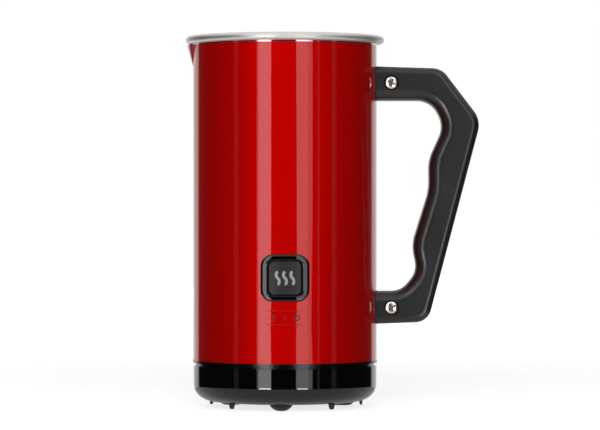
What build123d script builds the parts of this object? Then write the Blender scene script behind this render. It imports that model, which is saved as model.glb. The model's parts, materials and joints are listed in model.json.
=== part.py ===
"""Electric milk frothing jug: a double-walled steel jug with a heater and a magnet-driven whisk.

Frame: +Z up, the table at z = 0, the jug's axis on Z, the button at -Y, the handle at +X
and the pouring lip at -X. Sizes are in millimetres. One STEP file is written for each sub-part.
"""
import os
from math import cos, radians, sin, sqrt, tan

from build123d import *

# ---------------------------------------------------------------- overall sizes
total_height = 181.5          # table to the top of the rim
body_radius = 45.0            # outside of the lacquered sleeve
shell_wall = 0.8
rim_reach = 3.5               # the rolled rim stands out this far past the sleeve
rim_height = 3.8
rim_round = 1.85              # outer corners of the rim
rim_lip_round = 1.2           # inner top corner of the rim

# ---------------------------------------------------------------- clearances
seat_gap = 0.05               # between curved faces that are fixed to each other
slip_gap = 0.2                # round a piece that is pushed into a hole
running_gap = 0.05            # radial, between a shaft and its bush
axial_gap = 0.1               # end float of a turning piece
air_gap = 0.3                 # between pieces that pass each other without touching
overcut = 1.0                 # how far a cutting tool runs past a face

# ---------------------------------------------------------------- base, from the table up
base_lift = 3.1               # table to the underside of the base
base_wall = 2.2
base_inset = 0.1              # base wall drawn in from the sleeve
base_curve_height = 8.6       # rounded lower edge
base_curve_width = 9.9
base_straight = 8.9           # straight wall above the rounded edge
groove_height = 1.4           # shadow groove between base and lip
groove_depth = 1.2
lip_height = 1.2
lip_proud = 0.2
base_turn = -3.4              # degrees that the feet are turned about Z

foot_inset = 13.5             # sleeve's surface to the circle of the feet and their screws
foot_radius = 5.75
foot_flat = 3.5               # flat sole of a domed foot
foot_stem_radius = 2.9
foot_stem_length = 2.6
tab_places = [                # degrees from the front foot, and inset from the sleeve's surface
    (42, 9.0),
    (104, 7.0),
    (180, 7.0),
    (256, 7.0),
    (318, 9.0),
]
tab_width = 4.2
tab_tip_width = 1.8
tab_thickness = 1.2
tab_tip_lift = 0.6            # tab tip above the table

# ---------------------------------------------------------------- chassis and its screws
chassis_lift = 25.0           # underside of the chassis floor
chassis_floor = 3.0
chassis_wall = 1.5
chassis_skirt = 3.0           # skirt that drops inside the base wall
chassis_rise = 6.0            # collar that the sleeve slides over, above the floor
boss_radius = 4.3
screw_radius = 1.5
screw_head_radius = 2.6
screw_head = 1.8
foot_screw_seat = 9.5         # where a foot screw's head stops

# ---------------------------------------------------------------- cordless connector
connector_radius = 17.5
connector_top = 14.5
connector_flange = 3.8        # how far the flange reaches past the body
connector_flange_height = 1.6
connector_wall = 2.0
connector_roof = 2.0
contact_pin_radius = 2.0
contact_pin_length = 7.0
contact_ring_radius = 8.8
contact_ring_length = 5.5
earth_ring_length = 6.5
contact_wall = 0.8
contact_tail_radius = 1.1
contact_tail = 3.5
connector_screw_radius = 0.9

# ---------------------------------------------------------------- control board
board_gap = 0.7               # board's edge to the screw posts
board_thickness = 1.6
board_screw_inset = 3.2
board_bearing = 6.5           # width of the board's edge that the chassis floor covers
board_screw_radius = 1.1
relay_size = (18.0, 15.0, 6.5)
relay_place = -6.0
capacitor_radius = 4.0
capacitor_height = 7.0
capacitor_place = (10.0, 5.0)
transformer_size = (11.0, 7.2, 8.4)
terminal_size = (12.0, 6.0, 6.0)

# ---------------------------------------------------------------- motor and its mounting
motor_plate_drop = 14.0       # pot's underside to the plate's underside
motor_plate_thickness = 1.5
motor_plate_margin = 3.2      # plate's hub past the motor
motor_arm_width = 9.0
standoff_radius = 3.0
upper_standoff_radius = 2.5
stud_radius = 1.4
stud_length = 8.0
motor_radius = 13.8
motor_wall = 1.0
motor_length = 30.5           # can, from its open end to the motor plate
motor_front = 2.5             # thickness of the can's closed end
motor_boss_radius = 5.0
motor_cap = 2.5
motor_spigot = 1.1
motor_screw_circle = 8.0
motor_screw_radius = 1.2
motor_screw_head_radius = 2.0
bush_radius = 3.0
shaft_radius = 1.15
magnet_thickness = 2.2
magnet_length = 18.0
magnet_lift = 6.5             # above the can's open end
armature_gap = 0.4
armature_length = 16.0
winding_radius = 9.0
winding_height = 2.5
commutator_radius = 3.6
commutator_length = 2.4
brush_length = 4.6
brush_width = 3.0

# ---------------------------------------------------------------- magnetic drive
carrier_radius = 14.2
carrier_height = 6.3
carrier_gap = 0.7             # to the underside of the pot
carrier_hub_radius = 4.0
carrier_hub = 3.5
drive_magnet_radius = 4.0
drive_magnet_height = 4.0
drive_magnet_circle = 9.0
drive_magnet_count = 4

# ---------------------------------------------------------------- inner pot
pot_floor_lift = 80.0         # table to the underside of the pot
pot_wall = 0.8
pot_gap = 2.4                 # air between the sleeve and the pot
pot_floor_round = 5.0
pot_shoulder_drop = 21.5      # rim top down to where the pot starts to widen
pot_shoulder_height = 5.0
post_radius = 2.0
post_height = 14.2
post_flange_radius = 4.5
post_flange_height = 0.8

# ---------------------------------------------------------------- pouring lip
spout_reach = 3.1
spout_half_width = 14.0
spout_drop = 11.5             # point of the V below the rim
spout_root = 0.1              # point of the V, inside the sleeve's surface

# ---------------------------------------------------------------- heater
heater_inner = 16.5
heater_thickness = 2.1
element_radius = 3.2
element_gap = 32.0            # degrees each side of +X
element_pin_radius = 1.2
element_pin_length = 5.5
thermostat_radius = 8.0
thermostat_height = 6.0
sensor_radius = 1.6
sensor_height = 7.0

sensor_angle = 120.0          # degrees from +X
thermostat_tab = 4.0          # length of its two tabs, and their distance from the middle

# ---------------------------------------------------------------- wires
wire_radius = 0.6
wire_bend = 3.0
wire_inset = 2.9              # chassis opening to the wires that pass through it
wire_knee = 2.0               # height above the chassis floor where they turn inwards
wire_edge_gap = 0.8           # a wire this far inside the chassis opening's edge hangs straight
switch_wire_spacing = 4.0
switch_wire_drop = 6.5        # below the middle of the button
motor_wire_place = 11.5

# ---------------------------------------------------------------- whisk
bush_wall = 1.1
bush_flange_height = 0.8
bush_length = 10.5
whisk_disc_radius = 10.8
whisk_disc_height = 4.5
whisk_hub_radius = 5.2
whisk_hub_height = 9.5
whisk_magnet_radius = 2.1
whisk_magnet_height = 2.6
whisk_magnet_circle = 8.0
whisk_ring_radius = 14.5
whisk_ring_wire = 0.8
whisk_arm_radius = 0.5
whisk_arm_count = 4
spring_coil_radius = 2.0
spring_wire = 0.4
spring_turns = 36

# ---------------------------------------------------------------- button, depths from the sleeve
button_lift = 64.25           # table to the middle of the button
bezel_band = 3.05             # gloss frame's width beside the gap
bezel_flattening = 0.8        # frame's width less its height
bezel_corner = 5.6
bezel_proud = 1.0
neck_inset = 1.2              # neck drawn in from the bezel's edge
neck_depth = 5.5
pocket_depth = 2.8
cap_size = 15.9
cap_corner = 2.6
cap_moat = 0.65               # gap round the cap
cap_proud = 0.8
cap_flange_reach = 1.2
cap_flange = 1.15
cap_travel = 0.8
stem_radius = 2.0
stem_depth = 5.8
plunger_radius = 1.75
plunger_length = 2.3
switch_size = 6.0
switch_depth = 6.9
housing_margin = 2.05         # housing past the neck on each side
housing_wall = 1.2
housing_front = 1.6
housing_depth = 3.4
housing_back_depth = 12.0
housing_post = 4.2
switch_board_depth = 10.4
led_radius = 1.1
led_height = 1.6
led_spacing = 5.5
switch_screw_radius = 0.9
seal_width = 1.6
steam_stroke = 1.3
steam_height = 6.9
steam_spacing = 3.5
steam_sag = 0.75
steam_depth = 1.0

# ---------------------------------------------------------------- handle
handle_width = 18.0
handle_drop = 14.5            # rim top to the handle's upper edge
handle_lift = 40.6            # table to the handle's lower edge
handle_round = 3.4            # outer edges
finger_round = 6.0            # edges round the grip's opening
handle_root = 8.0             # the blank runs this far into the sleeve before it is trimmed
outer_corners = [             # reach from the sleeve, share of the handle's height, corner radius
    (31.5, 0.990, 9.0),
    (50.8, 0.790, 11.5),
    (24.9, 0.0095, 8.0),
]
finger_corners = [             # the same for the grip's opening, radii as shares of the height too
    (12.0, 0.130, 0.080),
    (19.6, 0.205, 0.080),
    (17.0, 0.308, 0.160),
    (25.4, 0.521, 0.230),
    (25.2, 0.636, 0.170),
    (32.8, 0.767, 0.095),
    (26.5, 0.865, 0.087),
]
bracket_thickness = 1.2
bracket_size = 13.0
tang_reach = 12.5
tang_thickness = 2.0
tang_height = 10.0
handle_screw_reach = 6.9
handle_screw_inset = 8.3      # from the handle's upper and lower edges
handle_screw_radius = 1.6
handle_screw_head = 3.0
handle_screw_head_height = 1.9
counterbore_radius = 3.7
counterbore_depth = 2.0
cross_width = 0.9
cross_length = 3.8
cross_depth = 1.0

# ---------------------------------------------------------------- places worked out from the sizes
rim_bottom = total_height - rim_height
pot_radius = body_radius - shell_wall - pot_gap
foot_circle = body_radius - foot_inset
board_radius = foot_circle - boss_radius - board_gap
board_screw_circle = board_radius - board_screw_inset
chassis_hole = board_radius - board_bearing
transformer_place = board_radius - 1.1 - transformer_size[1] / 2
terminal_circle = board_radius - 1.5 - terminal_size[1] / 2
connector_recess = connector_radius - connector_wall
earth_ring_radius = connector_recess - 0.1
connector_screw_circle = connector_radius + connector_flange / 2
standoff_circle = pot_radius - pot_floor_round - upper_standoff_radius - air_gap
heater_outer = standoff_circle - upper_standoff_radius - 0.5
element_circle = heater_outer - 6.0
thermostat_place = element_circle - 0.5
sensor_place = heater_inner + 2.5
motor_plate_lift = pot_floor_lift - motor_plate_drop
motor_plate_hub = motor_radius + motor_plate_margin
bezel_width = cap_size + 2 * (cap_moat + bezel_band)
bezel_height = bezel_width - bezel_flattening
base_radius = body_radius - base_inset
base_bore = base_radius - base_wall
base_top = base_lift + base_curve_height + base_straight
base_floor_top = base_lift + base_wall
lip_bottom = base_top + groove_height
shell_bottom = lip_bottom + lip_height
chassis_floor_top = chassis_lift + chassis_floor
chassis_collar = body_radius - shell_wall - 0.15
board_low = chassis_lift - board_thickness
motor_plate_top = motor_plate_lift + motor_plate_thickness
motor_open_end = motor_plate_lift - motor_length
motor_low = motor_open_end - motor_cap
spigot_top = motor_open_end + motor_spigot
can_bore = motor_radius - motor_wall
armature_low = motor_open_end + magnet_lift + 1.0
carrier_top = pot_floor_lift - carrier_gap
carrier_low = carrier_top - carrier_height
heater_low = pot_floor_lift - heater_thickness
pot_seat_radius = body_radius - shell_wall - 0.1
pot_floor_top = pot_floor_lift + pot_wall
shoulder_low = total_height - pot_shoulder_drop
shoulder_high = shoulder_low + pot_shoulder_height
post_low = pot_floor_top
bush_low = post_low + post_flange_height
bush_bore = post_radius + running_gap
bush_outer = bush_bore + bush_wall
whisk_low = bush_low + bush_flange_height + axial_gap
spring_lift = whisk_low + whisk_disc_height - whisk_ring_wire
handle_top = total_height - handle_drop
neck_width = bezel_width - 2 * neck_inset
neck_height = bezel_height - 2 * neck_inset
neck_corner = bezel_corner - neck_inset
housing_size = neck_width + 2 * housing_margin
cap_flange_size = cap_size + 2 * cap_flange_reach
bracket_lifts = (handle_lift + handle_screw_inset, handle_top - handle_screw_inset)
foot_angles = [270 + base_turn + turn for turn in (0, 120, 240)]
standoff_angles = (60, 180, 300)
element_pin_angles = (element_gap + 5, -element_gap - 5)
board_screw_angles = (30, 150, 270)


# ---------------------------------------------------------------- shared shapes
def cylinder(radius, low, high, place=(0, 0)):
    """Upright cylinder between two heights."""
    return Pos(place[0], place[1], (low + high) / 2) * Cylinder(radius, high - low)


def tube(outer, inner, low, high, place=(0, 0)):
    """Upright tube between two heights."""
    return cylinder(outer, low, high, place) - cylinder(inner, low - overcut, high + overcut, place)


def block(x_range, y_range, z_range):
    """Box between limits along each axis."""
    sizes = [high - low for low, high in (x_range, y_range, z_range)]
    middles = [(high + low) / 2 for low, high in (x_range, y_range, z_range)]
    return Pos(*middles) * Box(*sizes)


def turned(outline):
    """Solid turned about Z from a closed outline drawn as (radius, height)."""
    return revolve(Plane.XZ * make_face(outline), Axis.Z)


def polar(radius, angle):
    """Point on a circle about Z, the angle in degrees from +X."""
    return (radius * cos(radians(angle)), radius * sin(radians(angle)))


def pegs(radius, low, high, circle, angles):
    """Equal upright cylinders round a circle."""
    return [cylinder(radius, low, high, polar(circle, angle)) for angle in angles]


def cut_all(shape, tools):
    """Takes each tool out of a shape."""
    for tool in tools:
        shape -= tool
    return shape


def join_all(shapes):
    """Joins shapes that meet into one."""
    whole = shapes[0]
    for shape in shapes[1:]:
        whole += shape
    return whole


def group(shapes):
    """Keeps separate solids together in one node."""
    return Compound([solid for shape in shapes for solid in shape.solids()])


def inward(depth):
    """Y of a plane that lies a depth behind the front of the sleeve."""
    return depth - body_radius


def front_prism(width, height, corner, front, back):
    """Prism along Y with rounded corners, centred on the button."""
    outline = Pos(0, back, button_lift) * Rot(90, 0, 0) * RectangleRounded(width, height, corner)
    return extrude(outline, amount=back - front)


def front_pin(radius, front, back, x=0.0, z=0.0):
    """Cylinder along Y, placed from the middle of the button."""
    middle = Pos(x, (front + back) / 2, button_lift + z)
    return middle * Rot(90, 0, 0) * Cylinder(radius, back - front)


def upright_screw(place, head_radius, head_low, head_high, shank_radius, shank_end):
    """Screw along Z, with the shank on the side of the head that shank_end lies on."""
    head = cylinder(head_radius, head_low, head_high, place)
    low, high = min(shank_end, head_high), max(shank_end, head_low)
    return head + cylinder(shank_radius, low, high, place)


# ---------------------------------------------------------------- sleeve and pot
def spout_cone(offset, top):
    """Leaning cone whose outer side is the pouring lip, drawn in by an offset."""
    sagitta = body_radius + spout_reach - sqrt(body_radius**2 - spout_half_width**2)
    mouth_radius = (sagitta**2 + spout_half_width**2) / (2 * sagitta)
    mouth_place = body_radius + spout_reach - mouth_radius
    root_place = body_radius - spout_root
    root = rim_bottom - spout_drop
    slope = mouth_radius / spout_drop

    def section(height):
        share = (height - root) / spout_drop
        place = root_place + (mouth_place - root_place) * share
        return Pos(-place, 0, height) * Circle(slope * (height - root) - offset)

    return loft([section(root + offset / slope + 0.1), section(top)], ruled=True)


def outer_shell():
    """Lacquered sleeve with the V of the pouring lip and the button's window."""
    sleeve = cylinder(body_radius, shell_bottom, rim_bottom) + spout_cone(0, rim_bottom)
    inside = cylinder(body_radius - shell_wall, shell_bottom - overcut, rim_bottom + overcut)
    window = front_prism(neck_width + 2 * slip_gap, neck_height + 2 * slip_gap, neck_corner,
                         -body_radius - overcut, inward(neck_depth))
    return sleeve - inside - spout_cone(shell_wall, rim_bottom + overcut) - window


def pot_outline(offset, floor, top):
    """Side of the pot as (radius, height), drawn in by an offset."""
    radius = pot_radius - offset
    corner = pot_floor_round - offset
    return [
        Line((0, floor), (radius - corner, floor)),
        RadiusArc((radius - corner, floor), (radius, floor + corner), -corner),
        Line((radius, floor + corner), (radius, shoulder_low)),
        Line((radius, shoulder_low), (pot_seat_radius - offset, shoulder_high)),
        Line((pot_seat_radius - offset, shoulder_high), (pot_seat_radius - offset, top)),
        Line((pot_seat_radius - offset, top), (0, top)),
        Line((0, top), (0, floor)),
    ]


def rolled_rim():
    """Solid ring of the rolled rim, with a rounded outer side and inner lip."""
    outer = body_radius + rim_reach
    inner = pot_seat_radius - pot_wall
    return turned([
        Line((inner, rim_bottom), (outer - rim_round, rim_bottom)),
        RadiusArc((outer - rim_round, rim_bottom), (outer, rim_bottom + rim_round), -rim_round),
        Line((outer, rim_bottom + rim_round), (outer, total_height - rim_round)),
        RadiusArc((outer, total_height - rim_round), (outer - rim_round, total_height), -rim_round),
        Line((outer - rim_round, total_height), (inner + rim_lip_round, total_height)),
        RadiusArc((inner + rim_lip_round, total_height), (inner, total_height - rim_lip_round),
                  -rim_lip_round),
        Line((inner, total_height - rim_lip_round), (inner, rim_bottom)),
    ])


def inner_pot():
    """Steel pot with its rolled rim and the channel of the pouring lip."""
    outer_skin = shell_wall + 0.1
    skin = turned(pot_outline(0, pot_floor_lift, rim_bottom)) + spout_cone(outer_skin, rim_bottom)
    inside = turned(pot_outline(pot_wall, pot_floor_top, total_height + overcut))
    channel = spout_cone(outer_skin + pot_wall, total_height + overcut)
    return skin + rolled_rim() - inside - channel


def whisk_post():
    """Steel post in the middle of the pot that the whisk turns on."""
    flange = cylinder(post_flange_radius, post_low, post_low + post_flange_height)
    post = cylinder(post_radius, post_low, post_low + post_height)
    return flange + chamfer(post.edges().sort_by(Axis.Z)[-1], post_radius / 4)


# ---------------------------------------------------------------- handle
def handle_place(reach, share):
    """Point of the handle's side view from its reach and its share of the height."""
    return (body_radius + reach, handle_lift + share * (handle_top - handle_lift))


def handle_side(corners, first, last):
    """Line down the side of the handle through rounded corners, between two heights at the root."""
    root = body_radius - handle_root
    points = [(root, first)] + [handle_place(reach, share) for reach, share, _ in corners]
    return FilletPolyline(*points, (root, last), radius=[radius for _, _, radius in corners])


def handle_blank():
    """Handle before it is trimmed to the sleeve: its side view, extruded and rounded."""
    height = handle_top - handle_lift
    fingers = [(reach, share, radius * height) for reach, share, radius in finger_corners]
    finger_low = handle_place(*finger_corners[0][:2])[1]
    finger_high = handle_place(*finger_corners[-1][:2])[1]
    outer = handle_side(outer_corners, handle_top, handle_lift)
    inner = handle_side(fingers, finger_low, finger_high)
    side = make_face([outer, Line(outer @ 1, inner @ 0), inner, Line(inner @ 1, outer @ 0)])
    blank = extrude(Pos(0, handle_width / 2, 0) * Rot(90, 0, 0) * side, amount=handle_width)
    flanks = blank.faces().sort_by(Axis.Y)
    rounded = {handle_round: outer, finger_round: inner}
    for radius, line in rounded.items():
        edges = [edge for face in (flanks[0], flanks[-1]) for edge in face.edges()
                 if line.distance_to(Vector((edge @ 0.5).X, (edge @ 0.5).Z)) < seat_gap]
        blank = fillet(edges, radius)
        flanks = blank.faces().sort_by(Axis.Y)
    return blank


def cross_pin(radius, front, back, lift):
    """Cylinder along Y on the line of a handle screw."""
    middle = Pos(body_radius + handle_screw_reach, (front + back) / 2, lift)
    return middle * Rot(90, 0, 0) * Cylinder(radius, back - front)


def bracket(lift, gap=0.0):
    """Steel bracket welded to the sleeve; a gap makes it a cutting tool for its pocket."""
    half = bracket_size / 2 + gap
    low, high = lift - half, lift + half
    inner = body_radius + seat_gap
    saddle = tube(inner + bracket_thickness + gap, inner, low, high)
    saddle &= block((0, 2 * body_radius), (-half, half), (low, high))
    tang = block((body_radius + bracket_thickness / 2, body_radius + tang_reach + gap),
                 (-tang_thickness / 2 - gap, tang_thickness / 2 + gap),
                 (lift - tang_height / 2 - gap, lift + tang_height / 2 + gap))
    return saddle + tang


def drilled_bracket(lift):
    """Bracket with the hole for the handle's screw."""
    return bracket(lift) - cross_pin(handle_screw_radius + slip_gap, -tang_thickness,
                                     tang_thickness, lift)


def handle():
    """Moulded handle, trimmed to the sleeve, with its bracket pockets and screw holes."""
    shape = handle_blank() - cylinder(body_radius + 2 * seat_gap, 0, total_height)
    front = -handle_width / 2
    for lift in bracket_lifts:
        shape -= bracket(lift, slip_gap)
        shape -= cross_pin(counterbore_radius, front - overcut, front + counterbore_depth, lift)
        shape -= cross_pin(handle_screw_radius + seat_gap, front, -front - counterbore_depth, lift)
    return shape


def handle_screw(lift):
    """Pan-head screw with a cross recess."""
    seat = -handle_width / 2 + counterbore_depth
    face = seat - handle_screw_head_height
    head = cross_pin(handle_screw_head, face, seat, lift)
    head = fillet(head.edges().group_by(Axis.Y)[0], handle_screw_head_height / 2)
    shank = cross_pin(handle_screw_radius, seat, -seat - counterbore_depth, lift)
    x = body_radius + handle_screw_reach
    screw = head + shank
    for width, height in ((cross_length, cross_width), (cross_width, cross_length)):
        screw -= block((x - width / 2, x + width / 2), (face - overcut, face + cross_depth),
                       (lift - height / 2, lift + height / 2))
    return screw


# ---------------------------------------------------------------- button
def button_bezel():
    """Gloss frame round the button, with a neck through the sleeve's window."""
    face = cylinder(body_radius + bezel_proud, 0, total_height)
    ring = face - cylinder(body_radius + seat_gap, -overcut, total_height + overcut)
    far = -body_radius - 2 * bezel_proud
    flange = front_prism(bezel_width, bezel_height, bezel_corner, far, 0) & ring
    neck = front_prism(neck_width, neck_height, neck_corner, far, inward(neck_depth)) & face
    opening = cap_size + 2 * cap_moat
    mouth = front_prism(opening, opening, cap_corner + cap_moat, far, 0)
    pocket_size = cap_flange_size + 2 * air_gap
    pocket = front_prism(pocket_size, pocket_size - bezel_flattening, cap_corner, inward(pocket_depth), 0)
    return flange + neck - mouth - pocket


def steam_symbol():
    """Three wavy strokes, a light guide set into the face of the cap."""
    far = -body_radius - 2 * bezel_proud
    skin = cylinder(body_radius + cap_proud, 0, total_height)
    skin -= cylinder(body_radius + cap_proud - steam_depth, -overcut, total_height + overcut)
    half = steam_height / 2 - steam_stroke / 4
    strokes = []
    for x in (-steam_spacing, 0, steam_spacing):
        lower = SagittaArc((x, -half), (x, 0), -steam_sag)
        upper = SagittaArc((x, 0), (x, half), steam_sag)
        stroke = trace([lower, upper], line_width=steam_stroke)
        placed = Pos(0, 0, button_lift) * Rot(90, 0, 0) * stroke
        strokes.append(extrude(placed, amount=-far) & skin)
    return group(strokes)


def button_cap():
    """Matt cap with a flange that keeps it in the bezel and a stem that meets the plunger."""
    far = -body_radius - 2 * bezel_proud
    flange_front = inward(pocket_depth + seat_gap)
    flange_back = flange_front + cap_flange
    face = front_prism(cap_size, cap_size, cap_corner, far, flange_back)
    face &= cylinder(body_radius + cap_proud, 0, total_height)
    flange = front_prism(cap_flange_size, cap_flange_size - bezel_flattening, cap_corner, flange_front,
                         flange_back)
    stem = front_pin(stem_radius, flange_back, inward(stem_depth))
    return cut_all(face + flange + stem, steam_symbol().solids())


def button_seal():
    """Rubber frame between the sleeve and the switch housing, round the bezel's neck."""
    width = neck_width + 2 * seat_gap
    height = neck_height + 2 * seat_gap
    outer = front_prism(width + 2 * seal_width, height + 2 * seal_width, neck_corner + seal_width,
                        -body_radius, inward(housing_depth))
    inner = front_prism(width, height, neck_corner, -body_radius - overcut, 0)
    return (outer - inner) & cylinder(body_radius - shell_wall - seat_gap, 0, total_height)


def housing_corners():
    """Places of the four posts of the switch housing, from the middle of the button."""
    inner_half = housing_size / 2 - housing_wall
    place = inner_half - housing_post / 2 + seat_gap
    return [(x, z) for x in (-place, place) for z in (-place, place)]


def switch_housing():
    """Moulded box behind the button that holds the switch board."""
    front, back = inward(housing_depth), inward(housing_back_depth)
    bore = housing_size - 2 * housing_wall
    shape = front_prism(housing_size, housing_size, 2 * housing_wall, front, back)
    shape -= front_prism(bore, bore, housing_wall, front + housing_front, back + overcut)
    shape -= front_prism(neck_width + 2 * slip_gap, neck_height + 2 * slip_gap, neck_corner,
                         front - overcut, front + housing_front + overcut)
    post_front = inward(neck_depth) + slip_gap
    post_back = inward(switch_board_depth)
    half = housing_post / 2
    for x, z in housing_corners():
        shape += block((x - half, x + half), (post_front, post_back),
                       (button_lift + z - half, button_lift + z + half))
        shape -= front_pin(switch_screw_radius + seat_gap, post_front + 1, post_back + overcut, x, z)
    return shape


def switch_board():
    """Small circuit board that carries the switch and the lights."""
    bore = housing_size - 2 * housing_wall - slip_gap
    front = inward(switch_board_depth)
    shape = front_prism(bore, bore, housing_wall, front, front + board_thickness)
    for x, z in housing_corners():
        shape -= front_pin(switch_screw_radius + seat_gap, front - overcut,
                           front + board_thickness + overcut, x, z)
    return shape


def switch_screws():
    """Four screws that hold the switch board to its housing."""
    back = inward(switch_board_depth) + board_thickness
    screws = []
    for x, z in housing_corners():
        head = front_pin(2 * switch_screw_radius, back, back + 1, x, z)
        screws.append(head + front_pin(switch_screw_radius, inward(neck_depth) + 2, back, x, z))
    return group(screws)


def tact_switch():
    """Body of the push switch, with a well for its plunger."""
    front, back = inward(switch_depth), inward(switch_board_depth)
    half = switch_size / 2
    shape = block((-half, half), (front, back), (button_lift - half, button_lift + half))
    well_end = inward(stem_depth) + plunger_length + cap_travel + air_gap + 0.1
    return shape - front_pin(plunger_radius + running_gap * 2, front - overcut, well_end)


def switch_plunger():
    """Plunger that the cap's stem pushes into the switch."""
    front = inward(stem_depth)
    return front_pin(plunger_radius, front, front + plunger_length)


def indicator_leds():
    """Two lights behind the cap."""
    back = inward(switch_board_depth)
    return group([front_pin(led_radius, back - led_height, back, x) for x in (-led_spacing, led_spacing)])


# ---------------------------------------------------------------- base and chassis
def base_outline(offset, floor, top):
    """Outer side of the base as (radius, height), drawn in by an offset."""
    wide = base_curve_width - offset / 2
    tall = base_lift + base_curve_height - floor
    radius = base_radius - offset
    centre = (radius - wide, floor + tall)
    curve = EllipticalCenterArc(centre, wide, tall, start_angle=270, arc_size=90)
    return [
        Line((0, floor), (radius - wide, floor)),
        curve,
        Line((radius, floor + tall), (radius, top)),
        Line((radius, top), (0, top)),
        Line((0, top), (0, floor)),
    ]


def base_tab(turn, inset):
    """Small tapered tab under the base, its broad side facing outwards."""
    top = base_floor_top - seat_gap
    upper = Pos(0, 0, top) * Rectangle(tab_thickness * 1.3, tab_width * 1.15)
    lower = Pos(0, 0, tab_tip_lift) * Rectangle(tab_thickness * 0.7, tab_tip_width)
    return Rot(0, 0, foot_angles[0] + turn) * Pos(body_radius - inset, 0, 0) * loft([upper, lower])


def base_cup():
    """Gloss base with its screw posts, the connector's hole and the small tabs."""
    shape = turned(base_outline(0, base_lift, base_top))
    shape -= turned(base_outline(base_wall, base_floor_top, base_top + overcut))
    shape = join_all([shape] + pegs(boss_radius, base_lift, chassis_lift, foot_circle, foot_angles))
    shape = join_all([shape] + [base_tab(turn, inset) for turn, inset in tab_places])
    shape -= cylinder(connector_radius + slip_gap, 0, base_top)
    shape = cut_all(shape, pegs(screw_radius + seat_gap, 0, chassis_lift + overcut, foot_circle,
                                foot_angles))
    shape = cut_all(shape, pegs(foot_stem_radius + seat_gap, base_lift - overcut, foot_screw_seat,
                                foot_circle, foot_angles))
    holes = pegs(connector_screw_radius + seat_gap, base_lift + 0.6, base_top, connector_screw_circle,
                 (90, 270))
    return cut_all(shape, holes)


def rubber_foot(angle):
    """Domed foot with a flat sole, plugged into the screw post."""
    dome_side = base_lift * 0.45
    outline = [
        Line((0, 0), (foot_flat, 0)),
        ThreePointArc((foot_flat, 0), ((foot_flat + foot_radius) / 2 + 0.35, dome_side * 0.36),
                      (foot_radius, dome_side)),
        Line((foot_radius, dome_side), (foot_radius, base_lift)),
        Line((foot_radius, base_lift), (foot_stem_radius, base_lift)),
        Line((foot_stem_radius, base_lift), (foot_stem_radius, base_lift + foot_stem_length)),
        Line((foot_stem_radius, base_lift + foot_stem_length), (0, base_lift + foot_stem_length)),
        Line((0, base_lift + foot_stem_length), (0, 0)),
    ]
    x, y = polar(foot_circle, angle)
    return Pos(x, y, 0) * turned(outline)


def base_screws():
    """Three screws, hidden by the feet, that hold the base to the chassis."""
    return group([upright_screw(polar(foot_circle, angle), screw_head_radius,
                                foot_screw_seat - screw_head, foot_screw_seat, screw_radius,
                                chassis_floor_top - 0.5) for angle in foot_angles])


def chassis():
    """Moulded ring that the base, the sleeve, the motor and the board are fixed to."""
    skirt = base_bore - slip_gap
    groove = body_radius - groove_depth
    lip = body_radius + lip_proud
    collar_top = chassis_floor_top + chassis_rise
    outline = Polyline(
        (chassis_hole, chassis_lift),
        (skirt - chassis_wall, chassis_lift),
        (skirt - chassis_wall, base_top - chassis_skirt),
        (skirt, base_top - chassis_skirt),
        (skirt, base_top),
        (groove, base_top),
        (groove, lip_bottom),
        (lip, lip_bottom),
        (lip, shell_bottom),
        (chassis_collar, shell_bottom),
        (chassis_collar, collar_top),
        (chassis_collar - chassis_wall, collar_top),
        (chassis_collar - chassis_wall, chassis_floor_top),
        (chassis_hole, chassis_floor_top),
        close=True,
    )
    shape = turned(outline)
    low, high = chassis_lift - overcut, chassis_floor_top + overcut
    hole = screw_radius + seat_gap
    shape = cut_all(shape, pegs(hole, low, chassis_floor_top - 0.4, foot_circle, foot_angles))
    shape = cut_all(shape, pegs(hole, low, high, standoff_circle, standoff_angles))
    pilot = board_screw_radius + seat_gap
    return cut_all(shape, pegs(pilot, low, high, board_screw_circle, board_screw_angles))


# ---------------------------------------------------------------- connector
def connector_body():
    """Round socket that sits down over the power base's plug."""
    roof = connector_top - connector_roof
    shape = cylinder(connector_radius, base_lift, connector_top)
    flange_top = base_floor_top + connector_flange_height
    shape += cylinder(connector_radius + connector_flange, base_floor_top, flange_top)
    shape -= cylinder(connector_recess, base_lift - overcut, roof)
    tails = [cylinder(contact_tail_radius + seat_gap, roof - overcut, connector_top + overcut,
                      (x, 0)) for x in contact_tail_places()]
    holes = pegs(connector_screw_radius + seat_gap, 0, connector_top, connector_screw_circle, (90, 270))
    return cut_all(shape, tails + holes)


def contact_tail_places():
    """X of the tail of the pin, of the live ring and of the earth ring."""
    return (0, contact_ring_radius - contact_wall / 2, contact_tail_radius - earth_ring_radius)


def contact_tail_pin(index):
    """Tail that carries a contact through the roof of the connector."""
    roof = connector_top - connector_roof
    return cylinder(contact_tail_radius, roof - contact_wall, connector_top + contact_tail,
                    (contact_tail_places()[index], 0))


def connector_pin():
    """Centre pin."""
    roof = connector_top - connector_roof
    pin = cylinder(contact_pin_radius, roof - contact_pin_length, roof)
    return pin + contact_tail_pin(0)


def connector_ring():
    """Middle ring contact."""
    roof = connector_top - connector_roof
    inner = contact_ring_radius - contact_wall
    return tube(contact_ring_radius, inner, roof - contact_ring_length, roof) + contact_tail_pin(1)


def earth_ring():
    """Outer ring contact."""
    roof = connector_top - connector_roof
    inner = earth_ring_radius - contact_wall
    return tube(earth_ring_radius, inner, roof - earth_ring_length, roof) + contact_tail_pin(2)


def connector_screws():
    """Two screws through the connector's flange."""
    seat = base_floor_top + connector_flange_height
    return group([upright_screw(polar(connector_screw_circle, angle), 2 * connector_screw_radius,
                                seat, seat + 1.2, connector_screw_radius, base_lift + 0.8)
                  for angle in (90, 270)])


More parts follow.
